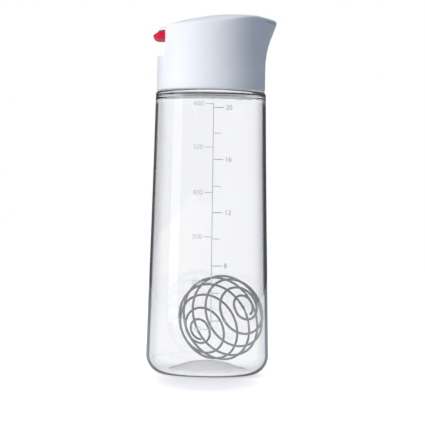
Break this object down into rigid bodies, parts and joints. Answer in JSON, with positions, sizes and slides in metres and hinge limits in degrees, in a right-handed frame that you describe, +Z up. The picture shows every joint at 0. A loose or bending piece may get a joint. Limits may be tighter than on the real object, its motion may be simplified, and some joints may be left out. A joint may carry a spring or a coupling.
{
  "type": "salad dressing shaker bottle",
  "caption": "Clear tapered shaker bottle with a white screw lid, a lever that opens its pouring beak, and a loose wire whisk ball.",
  "frame": {"origin": "on the table under the bottle's axis, at the centre of the foot ring", "axes": "+Z up along the bottle's axis, +X towards the pouring beak, the thumb tab lies at -X"},
  "size_m": [0.0802, 0.078, 0.2282],
  "materials": {
    "clear_bottle": "clear moulded copolyester, polished",
    "whisk_wire": "bright stainless wire",
    "grey_silicone": "translucent pale grey silicone",
    "white_plastic": "satin white moulded polypropylene",
    "red_plastic": "glossy red moulded plastic",
    "pin_steel": "plain stainless steel"
  },
  "bodies": {
    "bottle": {"bottle": "clear_bottle"},
    "whisk_ball": {"wire_whisk_ball": "whisk_wire"},
    "gasket": {"lid_gasket": "grey_silicone"},
    "lid": {"lid_shell": "white_plastic", "spout_insert": "white_plastic", "hinge_pin": "pin_steel", "lever_spring": "pin_steel"},
    "lever": {"pour_lever": "white_plastic", "thumb_tab": "red_plastic", "spout_seal": "grey_silicone"}
  },
  "joints": [
    {"name": "ball_rattle", "type": "slide", "parent": "bottle", "child": "whisk_ball", "axis": [-0.0523, 0, 0.9986], "range_m": [0, 0.1311]},
    {"name": "lid_lift", "type": "slide", "parent": "bottle", "child": "gasket", "axis": [0, 0, 1], "range_m": [0, 0.024]},
    {"name": "lid_turn", "type": "hinge", "parent": "gasket", "child": "lid", "pos_m": [0, 0, 0.19], "axis": [0, 0, 1], "range_deg": [0, 720]},
    {"name": "lever_press", "type": "hinge", "parent": "lid", "child": "lever", "pos_m": [-0.012, 0, 0.2212], "axis": [0, -1, 0], "range_deg": [0, 16], "stiffness_Nm_per_rad": 0.3, "springref_deg": -8.59, "deforming": ["lever_spring"]}
  ],
  "couplings": [
    {"joint": "lid_lift", "follows": "lid_turn", "m_per_rad": 0.0019099}
  ]
}
